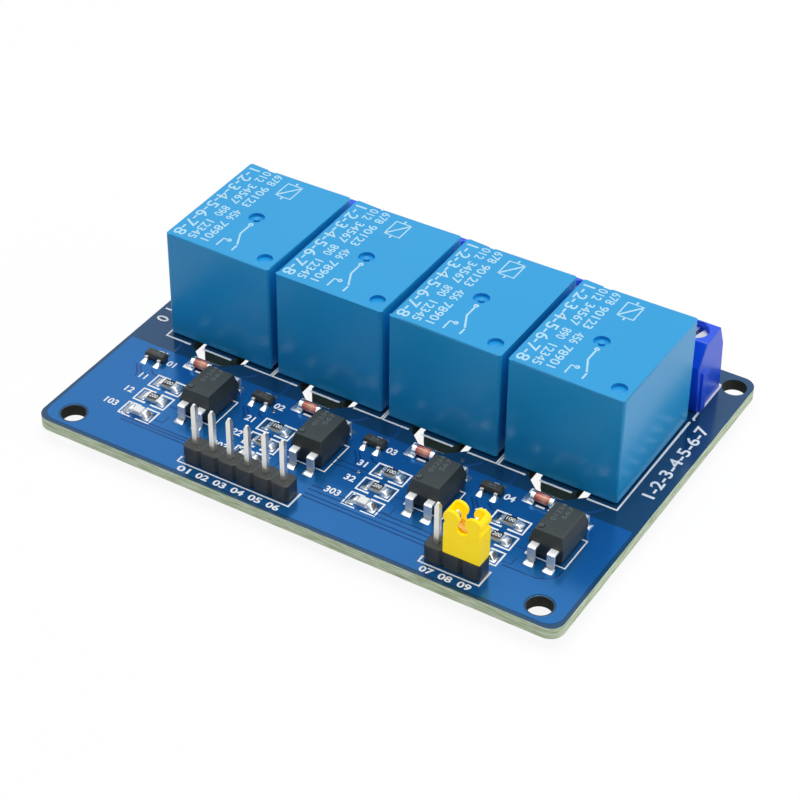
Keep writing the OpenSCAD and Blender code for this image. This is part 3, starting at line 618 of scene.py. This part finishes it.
def makePour(name, bottom, top):
    low = Vector((boardLow.x + pour["side"] * mm, boardLow.y + pour["front"] * mm, bottom))
    high = Vector((boardHigh.x - pour["side"] * mm, pour["back"] * mm, top))
    middle = (low + high) / 2
    deselectAll()
    bpy.ops.mesh.primitive_cube_add(size=1, location=middle, scale=high - low)
    piece = bpy.context.object
    makeActive(piece)
    bpy.ops.object.transform_apply(location=True, rotation=True, scale=True)
    upright = piece.modifiers.new("corners", "BEVEL")
    upright.width = pour["corner"] * mm
    upright.segments = 10
    upright.limit_method = "WEIGHT"
    weights = piece.data.attributes.new("bevel_weight_edge", "FLOAT", "EDGE")
    for edge in piece.data.edges:
        a, b = (piece.data.vertices[i].co for i in edge.vertices)
        if abs(a.z - b.z) > 0.01 * mm and a.y < middle.y:
            weights.data[edge.index].value = 1.0
    applyModifiers(piece)
    for x in (-1, 1):
        bpy.ops.mesh.primitive_cylinder_add(vertices=48, radius=pour["holeClear"] * mm, depth=1 * mm,
                                            location=(x * mountX, 0, (bottom + top) / 2))
        cutter = bpy.context.object
        cut = piece.modifiers.new("hole", "BOOLEAN")
        cut.operation = "DIFFERENCE"
        cut.solver = "EXACT"
        cut.object = cutter
        applyModifiers(piece)
        bpy.data.objects.remove(cutter, do_unlink=True)
    return finishPiece(piece, name, [finish["maskOnCopper"]], "board", 30)


makePour("copperPour", boardTop - pour["sunk"] * mm, boardTop + pour["thick"] * mm)
makePour("copperPourUnder", boardLow.z - pour["thick"] * mm, boardLow.z + pour["sunk"] * mm)
pourTop = boardTop + pour["thick"] * mm
print("copper pours laid")

# gaps etched round the tracks, in mm on the board: dark lines where the mask dips to the laminate
tracks = {"gap": 0.26, "gapRise": 0.012, "relay": 0.4, "thick": 0.035, "ring": 0.24, "ringRise": 0.02,
          "viaRadius": 0.2, "holeRadius": 1.74}


def inMm(points):
    return [(x * mm, y * mm) for x, y in points]


gaps = [[(-0.4, y), (16.8, y)] for y in (4.0, 3.25, 2.4, 1.75)]
gaps += [[(-27.5, y), (-17.4, y)] for y in (3.25, 2.75, 2.2)]
gaps += [[(26.0, 3.7), (30.4, 3.7), (31.6, 4.2), (32.5, 5.4), (32.5, 6.6)], [(-0.6, 9.75), (4.0, 9.75)],
         [(-0.6, 8.8), (4.0, 8.8)]]
for x0 in relayX:
    x = x0 / mm
    gaps += [[(x + 1.0, 7.35), (x + 2.9, 7.35)], [(x + 1.0, 10.6), (x + 2.2, 10.6)],
             [(x + 1.0, 4.2), (x + 2.2, 4.2), (x + 2.2, 5.6)],
             [(x - 7.7, 12.3), (x - 6.6, 10.9), (x - 6.4, 10.2)],
             [(x - 7.1, 12.3), (x - 6.1, 11.1), (x - 5.3, 11.1)],
             [(x - 5.4, 12.3), (x - 4.6, 11.6), (x - 4.0, 11.6)]]
flatLines("trackGaps", [(False, inMm(line)) for line in gaps], tracks["gap"], tracks["gapRise"], pourTop,
          finish["maskInGap"], "pcb")
strips = []
for x0 in relayX:
    x = x0 / mm
    strips += [(False, inMm([(x - 5.0, 16.2), (x - 5.0, 18.2), (x - 5.6, 19.4)])),
               (False, inMm([(x + 4.6, 16.4), (x + 5.9, 17.6), (x + 6.7, 18.6)]))]
flatLines("relayTracks", strips, tracks["relay"], tracks["thick"], boardTop, finish["maskOnTrack"], "pcb")
vias = [(3.05, 9.1), (-2.7, 16.2), (-12.08, 13.45), (12.6, 17.6), (27.4, 9.0)]
viaRings = [(True, arc(x * mm, y * mm, tracks["viaRadius"] * mm, 0, 324, 9)) for x, y in vias]
flatLines("trackVias", viaRings, tracks["ring"], tracks["ringRise"], pourTop, finish["shadedPadTin"], "pcb")
holeRings = [(True, arc(x * mountX, 0, tracks["holeRadius"] * mm, 0, 355, 71)) for x in (-1, 1)]
flatLines("holeRings", holeRings, tracks["ring"], tracks["ringRise"], boardTop, finish["maskOnLaminate"],
          "pcb")
print("tracks drawn")

# white legend of the board, in mm: from each relay's centre line and front
legend = {"line": 0.42, "thin": 0.33, "height": 0.024, "bold": 0.035, "sunk": 0.7, "wordThick": 0.03,
          "wordLift": 0.01, "pitch": 2.54, "pinHalf": 0.32, "numeralDrop": 2.58, "numeralLength": 1.75}


def fromRelay(x0, points):
    return [(x0 + x * mm, relayFront + y * mm) for x, y in points]


thickLines, thinLines = [], []
for x0 in relayX:
    for points in ([(-4.2, -0.75), (-8.0, -0.75), (-8.0, 19.4)], [(-2.3, -0.75), (2.1, -0.75)],
                   [(4.15, -0.75), (8.15, -0.75), (8.15, 18.9)]):
        thinLines.append((False, fromRelay(x0, points)))
    # an end bar of the diode, a piece of its side, and a second bar at the indicator's minus end
    for points in ([(-2.1, -2.5), (-2.1, -5.1), (-0.9, -5.1)], [(-0.45, -5.05), (0.75, -5.05)],
                   [(-3.35, -16.85), (-3.35, -14.45)]):
        thickLines.append((False, fromRelay(x0, points)))
    # boxes of the two resistors and the indicator, broken in the middle of their long sides
    for low, high in ((-10.55, -8.2), (-13.7, -11.3), (-16.85, -14.45)):
        for side, inner in ((-3.83, -2.0), (0.75, -1.2)):
            bracket = [(inner, low), (side, low), (side, high), (inner, high)]
            thickLines.append((False, fromRelay(x0, bracket)))
    bracket = [(7.0, -7.55), (7.8, -7.55), (7.8, -13.1), (2.6, -13.1), (2.6, -12.3)]
    thinLines.append((False, fromRelay(x0, bracket)))
for k in range(1, 5):
    low, high, middle = sizeOf(f"terminal_housing_{k}")
    left, right, back = middle.x - 7.85 * mm, middle.x + 7.62 * mm, high.y + 0.25 * mm
    thinLines.append((False, [(left, low.y), (left, back), (middle.x + 7.5 * mm, back),
                              (right, high.y - 0.2 * mm), (right, low.y - 0.6 * mm),
                              (middle.x + 7.9 * mm, low.y - 0.9 * mm)]))
headers = []
for node, left, right, front in (("input_header_body", 0.5, 0.3, 0.3),
                                 ("power_header_body", 0.28, 0.14, 0.36)):
    low, high = sizeOf(node)[:2]
    leftX, rightX, frontY = low.x - left * mm, high.x + right * mm, low.y - front * mm
    headers.append((False, [(leftX, low.y + 0.7 * mm), (leftX, frontY), (rightX, frontY),
                            (rightX, high.y - 0.1 * mm)]))
inkLevel = boardTop + pour["thick"] * mm * legend["sunk"]
flatLines("boardLegendLines", thickLines + headers, legend["line"], legend["height"], inkLevel,
          finish["legendInk"], "pcb")
flatLines("boardLegendFine", thinLines, legend["thin"], legend["height"], inkLevel, finish["legendInk"],
          "pcb")

legendWords = []
for k, x0 in enumerate(relayX, 1):
    for text, x, y, size in ((f"0{k}", -3.7, -5.6, 1.1), (f"{k}1", -5.45, -9.4, 1.1),
                             (f"{k}2", -5.4, -12.5, 1.1), (f"{k}03", -5.85, -15.65, 1.1)):
        legendWords.append((text, x0 + x * mm, relayFront + y * mm, size, 0, 0))
    legendWords.append((f"0{k}", x0 + 6.0 * mm, relayFront - 6.9 * mm, 0.9, 0, 0))
pinLow, pinHigh, pinMiddle = sizeOf("header_pins")
pitch, pinHalf, numeralLength = legend["pitch"] * mm, legend["pinHalf"] * mm, legend["numeralLength"]
numeralY = pinMiddle.y - legend["numeralDrop"] * mm
for i in range(6):
    legendWords.append((f"0{i + 1}", pinLow.x + pinHalf + i * pitch, numeralY, 1.0, 0, numeralLength))
for i in range(3):
    x = pinHigh.x - pinHalf - (2 - i) * pitch
    legendWords.append((f"0{i + 7}", x, numeralY, 1.0, 0, numeralLength))
legendWords += [("1-2-3-4-5-6-7", 34.93 * mm, 30.75 * mm, 1.7, 90, 15.5),
                ("0", -35.1 * mm, 21.9 * mm, 1.7, 90, 0), ("1", -35.3 * mm, 24.0 * mm, 1.7, 90, 0)]
flatWords("boardLegendWords", legendWords, legend["wordThick"], pourTop + legend["wordLift"] * mm,
          finish["legendInk"], legend["bold"])
print("board legend printed")

# generic print on the relay covers: numerals and the plain signs of a coil and a change-over contact
coverPrint = {"line": 0.26, "height": 0.012, "lift": 0.012, "thick": 0.012, "bold": 0.022,
              "rows": [("1-2-3-4-5-6-7-8", -6.57, 9.75, 1.65, 17.5), ("012", -4.65, 17.25, 1.25, 2.5),
                       ("34567", -4.65, 12.65, 1.25, 4.9), ("890", -4.65, 7.95, 1.25, 2.3),
                       ("12345", -4.65, 3.3, 1.25, 4.4), ("678", -2.88, 17.35, 1.25, 2.5),
                       ("90123", -2.88, 12.8, 1.25, 5.0), ("456", -2.88, 7.95, 1.25, 2.3),
                       ("78901", -2.88, 3.55, 1.25, 4.7)],
              "signs": [(True, box(-0.95, 1.25, 14.7, 17.7)), (False, [(-0.95, 14.7), (1.25, 17.7)]),
                        (False, [(0.15, 14.7), (0.15, 14.1)]), (False, [(0.15, 17.7), (0.15, 18.3)]),
                        (False, [(0.25, 7.1), (0.25, 5.0), (1.3, 2.7)]),
                        (False, [(-0.9, 1.3), (-0.9, 3.0), (-0.3, 3.0)]), (False, [(1.4, 1.3), (1.4, 2.5)]),
                        (True, arc(0.25, 7.3, 0.22, 0, 330, 11)), (True, arc(-0.1, 3.0, 0.22, 0, 330, 11))]}


def makeCoverPrint(k):
    x0 = relayX[k - 1]
    words = [(text, x0 + x * mm, relayFront + y * mm, size, -90, length)
             for text, x, y, size, length in coverPrint["rows"]]
    flatWords(f"coverWords{k}", words, coverPrint["thick"], relayTop + coverPrint["lift"] * mm,
              finish["padInk"], coverPrint["bold"])
    lines = [(closed, fromRelay(x0, points)) for closed, points in coverPrint["signs"]]
    flatLines(f"coverSigns{k}", lines, coverPrint["line"], coverPrint["height"], relayTop, finish["padInk"],
              "relay_cover")


for k in range(1, 5):
    makeCoverPrint(k)
print("relay covers printed")


# one fillet standing at the origin, high at +Y and running down to -Y
def makeFillet(name, size, taper=0.72, crown=0.4, soft=0.12):
    width, length, height = (v * mm for v in size)
    deselectAll()
    bpy.ops.mesh.primitive_cube_add(size=1, location=(0, 0, height / 2), scale=(width, length, height))
    piece = bpy.context.object
    piece.name = name
    makeActive(piece)
    bpy.ops.object.transform_apply(location=True, rotation=True, scale=True)
    bpy.ops.object.mode_set(mode="EDIT")
    bpy.ops.mesh.select_all(action="DESELECT")
    bpy.ops.object.mode_set(mode="OBJECT")
    for face in piece.data.polygons:
        face.select = face.normal.z > 0.5
    bpy.ops.object.mode_set(mode="EDIT")
    bpy.ops.transform.resize(value=(taper, crown, 1), center_override=(0, length / 2, height))
    bpy.ops.object.mode_set(mode="OBJECT")
    soften = piece.modifiers.new("soften", "BEVEL")
    soften.width = soft * mm
    soften.segments = 2
    soften.limit_method = "ANGLE"
    melt = piece.modifiers.new("melt", "SUBSURF")
    melt.levels = melt.render_levels = 1
    applyModifiers(piece)
    return piece


# one flat pad at the origin with rounded corners and edges
def makePad(name, size, sunk=0.01, corner=0.45):
    width, length, height = (v * mm for v in size)
    deselectAll()
    bpy.ops.mesh.primitive_cube_add(size=1, location=(0, 0, height / 2 - sunk * mm),
                                    scale=(width, length, height))
    piece = bpy.context.object
    piece.name = name
    makeActive(piece)
    bpy.ops.object.transform_apply(location=True, rotation=True, scale=True)
    corners = piece.modifiers.new("corners", "BEVEL")
    corners.width = height * corner
    corners.segments = 2
    applyModifiers(piece)
    return piece


def spreadCopies(piece, places, name, material, body="board", smooth=60):
    copies = []
    for x, y, z, turn in places:
        twin = piece.copy()
        twin.data = piece.data.copy()
        bpy.context.scene.collection.objects.link(twin)
        twin.location = (x, y, z)
        twin.rotation_euler = (0, 0, math.radians(turn))
        copies.append(twin)
    bpy.data.objects.remove(piece, do_unlink=True)
    return finishPiece(joinPieces(copies), name, [material], body, smooth)


# solder: tinned pads, crowned fillets at the leads and wedges at the chip ends, in mm
solder = {"pad": (1.0, 1.75, 0.05), "leftWedge": (1.4, 0.8, 0.5), "rightWedge": (1.4, 1.05, 0.5),
          "ledWedge": (1.3, 1.0, 0.74), "diodePad": (1.5, 1.7, 0.06), "diodeWedge": (1.5, 0.9, 0.6),
          "optoToe": (1.5, 1.2, 0.3), "optoHeel": (1.6, 1.5, 0.5), "toe": (0.95, 1.25, 0.36)}
# how far each sits from the middle of its part, in mm
reach = {"pad": 1.45, "left": 1.25, "right": 1.42, "ledLeft": 1.2, "ledRight": 1.25, "diodePad": 1.75,
         "diodeDrop": 0.1, "diode": 1.7, "optoLead": 1.27, "optoToe": 1.5, "optoHeel": 1.4,
         "transistorPair": 0.95, "transistorToe": 1.3, "transistorLone": 0.75, "transistorHeel": 1.2}

pads, lefts, rights, ledEnds = [], [], [], []
for x0 in relayX:
    middle = x0 + chipX
    for y in chipRows:
        pads += [(middle + side * reach["pad"] * mm, y, pourTop, 0) for side in (-1, 1)]
    for y in chipRows[:2]:
        lefts.append((middle - reach["left"] * mm, y, boardTop, -90))
        rights.append((middle + reach["right"] * mm, y, boardTop, 90))
    y = chipRows[2]
    ledEnds += [(middle - reach["ledLeft"] * mm, y, boardTop, -90),
                (middle + reach["ledRight"] * mm, y, boardTop, 90)]
spreadCopies(makePad("pad", solder["pad"]), pads, "chipPads", finish["shadedPadTin"])
spreadCopies(makeFillet("wedge", solder["leftWedge"]), lefts, "chipSolderLeft", finish["solder"])
spreadCopies(makeFillet("wedge", solder["rightWedge"]), rights, "chipSolderRight", finish["solder"])
spreadCopies(makeFillet("wedge", solder["ledWedge"]), ledEnds, "indicatorSolder", finish["solder"])
padPlaces, wedgePlaces = [], []
for x0 in relayX:
    middle = x0 + diodeX
    padY = diodeMiddle.y - reach["diodeDrop"] * mm
    padPlaces += [(middle + side * reach["diodePad"] * mm, padY, pourTop, 0) for side in (-1, 1)]
    wedgePlaces += [(middle + side * reach["diode"] * mm, diodeMiddle.y, boardTop, side * 90)
                    for side in (1, -1)]
spreadCopies(makePad("pad", solder["diodePad"]), padPlaces, "diodePads", finish["solder"])
spreadCopies(makeFillet("wedge", solder["diodeWedge"]), wedgePlaces, "diodeSolder",
             finish["solder"])
front, rear = [], []
for k in range(1, 5):
    low, high, middle = sizeOf(f"optocoupler_{k}")
    for side in (-1, 1):
        x = middle.x + side * reach["optoLead"] * mm
        front.append((x, low.y - reach["optoToe"] * mm, boardTop, 0))
        rear.append((x, high.y + reach["optoHeel"] * mm, boardTop, 180))
# the front fillets take the pad tin, darkened as painted shade, and the rear ones bright solder
spreadCopies(makeFillet("toe", solder["optoToe"]), front, "optoSolderFront", finish["shadedPadTin"])
spreadCopies(makeFillet("toe", solder["optoHeel"]), rear, "optoSolderRear", finish["solder"])
places = []
for x0 in relayX:
    middle, y = x0 + transistorX, transistorMiddle.y
    for side in (-1, 1):
        places.append((middle + side * reach["transistorPair"] * mm, y - reach["transistorToe"] * mm,
                       boardTop, 0))
    places.append((middle + reach["transistorLone"] * mm, y + reach["transistorHeel"] * mm, boardTop, 180))
spreadCopies(makeFillet("toe", solder["toe"], 0.4), places, "transistorSolder", finish["solder"])
print("solder laid")

# glaze and numerals on the resistors, marks on the optocouplers and transistors
marks = {"glaze": (1.38, 1.2, 0.07), "numeral": 0.62, "numeralThick": 0.02, "numeralBold": 0.012,
         "opto": 0.62, "transistor": 0.6, "thick": 0.012, "lift": 0.004, "bold": 0.01,
         "dot": (0.2, 0.01), "seamHighlight": (0.1, 0.03)}
chipTop = sizeOf("resistor_chips")[1].z
glazed, numerals = [], []
for k, x0 in enumerate(relayX, 1):
    for y, text in zip(chipRows[:2], ("100", "200")):
        glazed.append((x0 + chipX, y, chipTop, 0))
        numerals.append((text, x0 + chipX, y, marks["numeral"], 0, 1.1))
spreadCopies(makePad("glaze", marks["glaze"]), glazed, "resistorGlaze",
             finish["chipGlaze"], smooth=30)
flatWords("resistorNumerals", numerals, marks["numeralThick"], chipTop + marks["glaze"][2] * mm,
          finish["legendInk"], marks["numeralBold"])
rows, dots = [], []
for k in range(1, 5):
    low, middle = sizeOf(f"optocoupler_{k}")[::2]
    rows += [("01234", middle.x - 0.7 * mm, middle.y + 1.2 * mm, marks["opto"], 90, 3.3),
             ("567", middle.x + 0.3 * mm, middle.y + 1.5 * mm, marks["opto"], 90, 2.4)]
    dots.append((True, arc(low.x + 0.95 * mm, low.y + 1.3 * mm, 0.2 * mm, 0, 330, 11)))
optoTop = sizeOf("optocoupler_1")[1].z
flatWords("optoMarks", rows, marks["thick"], optoTop + marks["lift"] * mm, finish["laserMarkAndSeamHighlight"],
          marks["bold"])
flatLines("optoDots", dots, *marks["dot"], optoTop, finish["laserMarkAndSeamHighlight"], "opto_body")
rows = [(f"{k}A", x0 + transistorX, transistorMiddle.y, marks["transistor"], 0, 1.2)
        for k, x0 in enumerate(relayX, 1)]
flatWords("transistorMarks", rows, marks["thick"], transistorHigh.z + marks["lift"] * mm,
          finish["laserMarkAndSeamHighlight"], marks["bold"])
# lighter lines along the joins between header segments: painted highlight where light catches the grooves
seamHighlights = []
for node, count in (("input_header_body", 6), ("power_header_body", 3)):
    low, high = sizeOf(node)[:2]
    for i in range(1, count):
        x = low.x + (high.x - low.x) * i / count
        seamHighlights.append((False, [(x, low.y + 0.4 * mm), (x, high.y - 0.15 * mm)]))
flatLines("headerSeamHighlights", seamHighlights, *marks["seamHighlight"], sizeOf("input_header_body")[1].z, finish["laserMarkAndSeamHighlight"],
          "header_plastic")
print("parts marked")


# underside: a tinned ring round each solder joint and wide tracks from the relay contacts to the poles
def islandsOf(node):
    piece = mergedCopy(node)
    bpy.ops.object.mode_set(mode="EDIT")
    bpy.ops.mesh.select_all(action="SELECT")
    bpy.ops.mesh.separate(type="LOOSE")
    bpy.ops.object.mode_set(mode="OBJECT")
    found = []
    for part in list(bpy.context.selected_objects):
        corners = [Vector(corner) for corner in part.bound_box]
        found.append(((corners[0] + corners[6]) / 2, (corners[6].x - corners[0].x) / 2))
        bpy.data.objects.remove(part, do_unlink=True)
    return found


under = {"ring": 0.45, "ringRise": 0.03, "ringClear": 0.12, "wide": 2.4, "bend": 2, "middleBend": 4,
         "reach": 8.2}
jointPlaces = islandsOf("solder_joints")
rings = [(True, arc(place.x, place.y, radius + under["ringClear"] * mm, 0, 345, 23))
         for place, radius in jointPlaces]
flatLines("underRings", rings, under["ring"], under["ringRise"], boardLow.z, finish["shadedPadTin"], "solder")
wide = []
relayBack = sizeOf("relay_cover_1")[1].y
bend, middleBend = under["bend"] * mm, under["middleBend"] * mm
for x0 in relayX:
    near = [place for place, radius in jointPlaces if abs(place.x - x0) < under["reach"] * mm]
    poles = sorted((p for p in near if p.y > relayBack), key=lambda p: p.x)
    pins = sorted((p for p in near if relayFront < p.y < relayBack), key=lambda p: p.y)
    if len(poles) == 3 and len(pins) >= 3:
        ends = sorted(pins[-2:], key=lambda p: p.x)
        wide += [(False, [(ends[0].x, ends[0].y), (ends[0].x, poles[0].y - bend), (poles[0].x, poles[0].y)]),
                 (False, [(ends[1].x, ends[1].y), (ends[1].x, poles[2].y - bend), (poles[2].x, poles[2].y)]),
                 (False, [(pins[0].x, pins[0].y), (poles[1].x, pins[0].y + middleBend),
                          (poles[1].x, poles[1].y)])]
flatLines("underTracks", wide, under["wide"], tracks["thick"], boardLow.z, finish["maskOnCopper"],
          "pcb")
print("underside dressed:", len(jointPlaces), "joints,", len(wide), "wide tracks")
